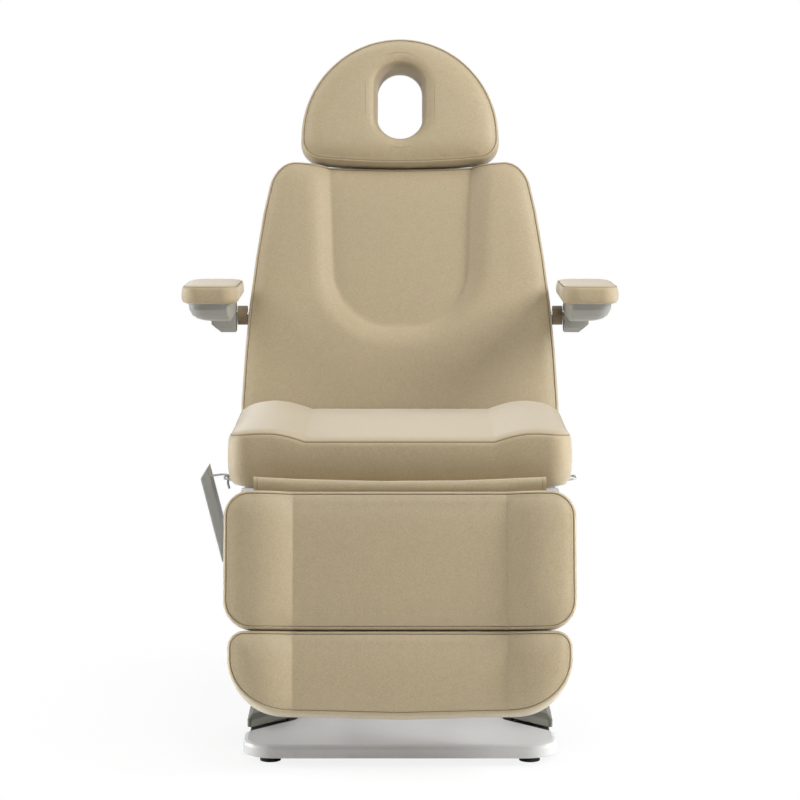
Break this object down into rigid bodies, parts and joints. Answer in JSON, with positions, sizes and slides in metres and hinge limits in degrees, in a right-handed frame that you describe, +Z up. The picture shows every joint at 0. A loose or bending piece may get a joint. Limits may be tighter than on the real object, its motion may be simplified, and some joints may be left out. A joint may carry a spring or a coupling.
{
  "type": "powered treatment chair",
  "caption": "Powered treatment chair with tilting seat, reclining back, folding leg rest, sliding foot and head pads with a face hole, level armrests, lifting column and hand control.",
  "frame": {"origin": "on the floor, in the middle of the overall box", "axes": "+Z up, -Y towards the feet of the seated person, +X to the chair's right in a front view"},
  "size_m": [0.8364, 1.0637, 1.3079],
  "materials": {
    "upholstery": "satin",
    "plywood": "matte",
    "white_cover": "satin",
    "frame_paint": "satin",
    "bright_steel": "satin",
    "black_rubber": "matte",
    "black_plastic": "matte",
    "actuator_plastic": "satin",
    "grey_plastic": "satin",
    "pedal_plastic": "satin",
    "tan_plastic": "satin",
    "key_plastic": "matte"
  },
  "bodies": {
    "base": {"base_cover": "white_cover", "base_plate": "frame_paint", "base_feet": "black_rubber", "column_outer": "frame_paint", "column_bolts": "bright_steel", "outer_glide": "black_plastic", "lift_actuator": "actuator_plastic", "control_box": "black_plastic", "mains_inlet": "black_plastic", "pedal_housings": "black_plastic"},
    "column_middle": {"column_middle": "frame_paint", "middle_glide": "black_plastic"},
    "lift": {"column_inner": "frame_paint", "lift_rod": "bright_steel", "column_head": "frame_paint", "tilt_actuator": "actuator_plastic"},
    "tilt_rod": {"tilt_rod": "bright_steel"},
    "seat": {"seat_rails": "frame_paint", "seat_crossbars": "frame_paint", "tilt_lugs": "frame_paint", "seat_board": "plywood", "seat_cushion": "upholstery", "hook_loops": "bright_steel", "leg_actuator": "actuator_plastic", "back_actuator": "actuator_plastic"},
    "leg_rod": {"leg_rod": "bright_steel"},
    "back_rod": {"back_rod": "bright_steel"},
    "leg": {"leg_crank": "frame_paint", "leg_arms": "frame_paint", "leg_cross_members": "frame_paint", "leg_board": "plywood", "leg_cushion": "upholstery", "gap_flap": "upholstery"},
    "foot": {"foot_rods": "bright_steel", "foot_board": "plywood", "foot_cushion": "upholstery"},
    "back": {"back_crank": "frame_paint", "back_arms": "frame_paint", "back_cross_members": "frame_paint", "back_board": "plywood", "back_cushion": "upholstery", "arm_shafts": "bright_steel"},
    "head": {"head_rods": "bright_steel", "head_board": "plywood", "head_cushion": "upholstery"},
    "collar_left": {"arm_collar_left": "tan_plastic"},
    "collar_right": {"arm_collar_right": "tan_plastic"},
    "armrest_left": {"arm_shell_left": "grey_plastic", "arm_pad_left": "upholstery"},
    "armrest_right": {"arm_shell_right": "grey_plastic", "arm_pad_right": "upholstery"},
    "pedal_left": {"pedal_left": "pedal_plastic"},
    "pedal_right": {"pedal_right": "pedal_plastic"},
    "handset": {"handset_front": "grey_plastic", "handset_back": "grey_plastic", "handset_hook": "bright_steel"},
    "key_1": {"handset_key_1": "key_plastic"},
    "key_2": {"handset_key_2": "key_plastic"},
    "key_3": {"handset_key_3": "key_plastic"},
    "key_4": {"handset_key_4": "key_plastic"}
  },
  "joints": [
    {"name": "lift_column", "type": "slide", "parent": "base", "child": "lift", "axis": [0, 0, 1], "range_m": [0, 0.3]},
    {"name": "middle_sleeve", "type": "slide", "parent": "base", "child": "column_middle", "axis": [0, 0, 1], "range_m": [0, 0.15]},
    {"name": "seat_tilt", "type": "hinge", "parent": "lift", "child": "seat", "pos_m": [0, -0.1, 0.411], "axis": [-1, 0, 0], "range_deg": [0, 12]},
    {"name": "tilt_push", "type": "slide", "parent": "lift", "child": "tilt_rod", "axis": [0, 0, 1], "range_m": [0, 0.022]},
    {"name": "back_recline", "type": "hinge", "parent": "seat", "child": "back", "pos_m": [0, 0.20517, 0.487], "axis": [-1, 0, 0], "range_deg": [0, 70]},
    {"name": "back_push", "type": "slide", "parent": "seat", "child": "back_rod", "axis": [0, -1, 0], "range_m": [0, 0.104]},
    {"name": "leg_raise", "type": "hinge", "parent": "seat", "child": "leg", "pos_m": [0, -0.336, 0.487], "axis": [-1, 0, 0], "range_deg": [0, 76], "deforming": ["gap_flap"]},
    {"name": "leg_push", "type": "slide", "parent": "seat", "child": "leg_rod", "axis": [0, -1, 0], "range_m": [0, 0.099]},
    {"name": "foot_extend", "type": "slide", "parent": "leg", "child": "foot", "axis": [0, -0.2419, -0.9703], "range_m": [0, 0.06]},
    {"name": "head_extend", "type": "slide", "parent": "back", "child": "head", "axis": [0, 0.342, 0.9397], "range_m": [0, 0.08]},
    {"name": "arm_level_left", "type": "hinge", "parent": "back", "child": "collar_left", "pos_m": [0, 0.22714, 0.75994], "axis": [-1, 0, 0], "range_deg": [-70.01, 0]},
    {"name": "arm_fold_left", "type": "hinge", "parent": "collar_left", "child": "armrest_left", "pos_m": [0, 0.22714, 0.75994], "axis": [-1, 0, 0], "range_deg": [0, 100]},
    {"name": "pedal_rock_left", "type": "hinge", "parent": "base", "child": "pedal_left", "pos_m": [0, -0.175, 0.036], "axis": [1, 0, 0], "range_deg": [-4, 4], "stiffness_Nm_per_rad": 3},
    {"name": "arm_level_right", "type": "hinge", "parent": "back", "child": "collar_right", "pos_m": [0, 0.22714, 0.75994], "axis": [-1, 0, 0], "range_deg": [-70.01, 0]},
    {"name": "arm_fold_right", "type": "hinge", "parent": "collar_right", "child": "armrest_right", "pos_m": [0, 0.22714, 0.75994], "axis": [-1, 0, 0], "range_deg": [0, 100]},
    {"name": "pedal_rock_right", "type": "hinge", "parent": "base", "child": "pedal_right", "pos_m": [0, -0.175, 0.036], "axis": [1, 0, 0], "range_deg": [-4, 4], "stiffness_Nm_per_rad": 3},
    {"name": "handset_unhook", "type": "slide", "parent": "seat", "child": "handset", "axis": [0, 0, 1], "range_m": [0, 0.08]},
    {"name": "key_rock_1", "type": "hinge", "parent": "handset", "child": "key_1", "pos_m": [-0.3362, -0.205, 0.38954], "axis": [-0.2419, 0, 0.9703], "range_deg": [-4, 4], "stiffness_Nm_per_rad": 0.05},
    {"name": "key_rock_2", "type": "hinge", "parent": "handset", "child": "key_2", "pos_m": [-0.34273, -0.205, 0.41574], "axis": [-0.2419, 0, 0.9703], "range_deg": [-4, 4], "stiffness_Nm_per_rad": 0.05},
    {"name": "key_rock_3", "type": "hinge", "parent": "handset", "child": "key_3", "pos_m": [-0.34926, -0.205, 0.44194], "axis": [-0.2419, 0, 0.9703], "range_deg": [-4, 4], "stiffness_Nm_per_rad": 0.05},
    {"name": "key_rock_4", "type": "hinge", "parent": "handset", "child": "key_4", "pos_m": [-0.35579, -0.205, 0.46814], "axis": [-0.2419, 0, 0.9703], "range_deg": [-4, 4], "stiffness_Nm_per_rad": 0.05}
  ],
  "couplings": [
    {"joint": "middle_sleeve", "follows": "lift_column", "ratio": 0.5},
    {"joint": "tilt_push", "follows": "seat_tilt", "m_per_rad": 0.1039},
    {"joint": "back_push", "follows": "back_recline", "m_per_rad": 0.0845},
    {"joint": "leg_push", "follows": "leg_raise", "m_per_rad": 0.07426},
    {"joint": "arm_level_left", "follows": "back_recline", "ratio": -1},
    {"joint": "arm_level_right", "follows": "back_recline", "ratio": -1}
  ]
}
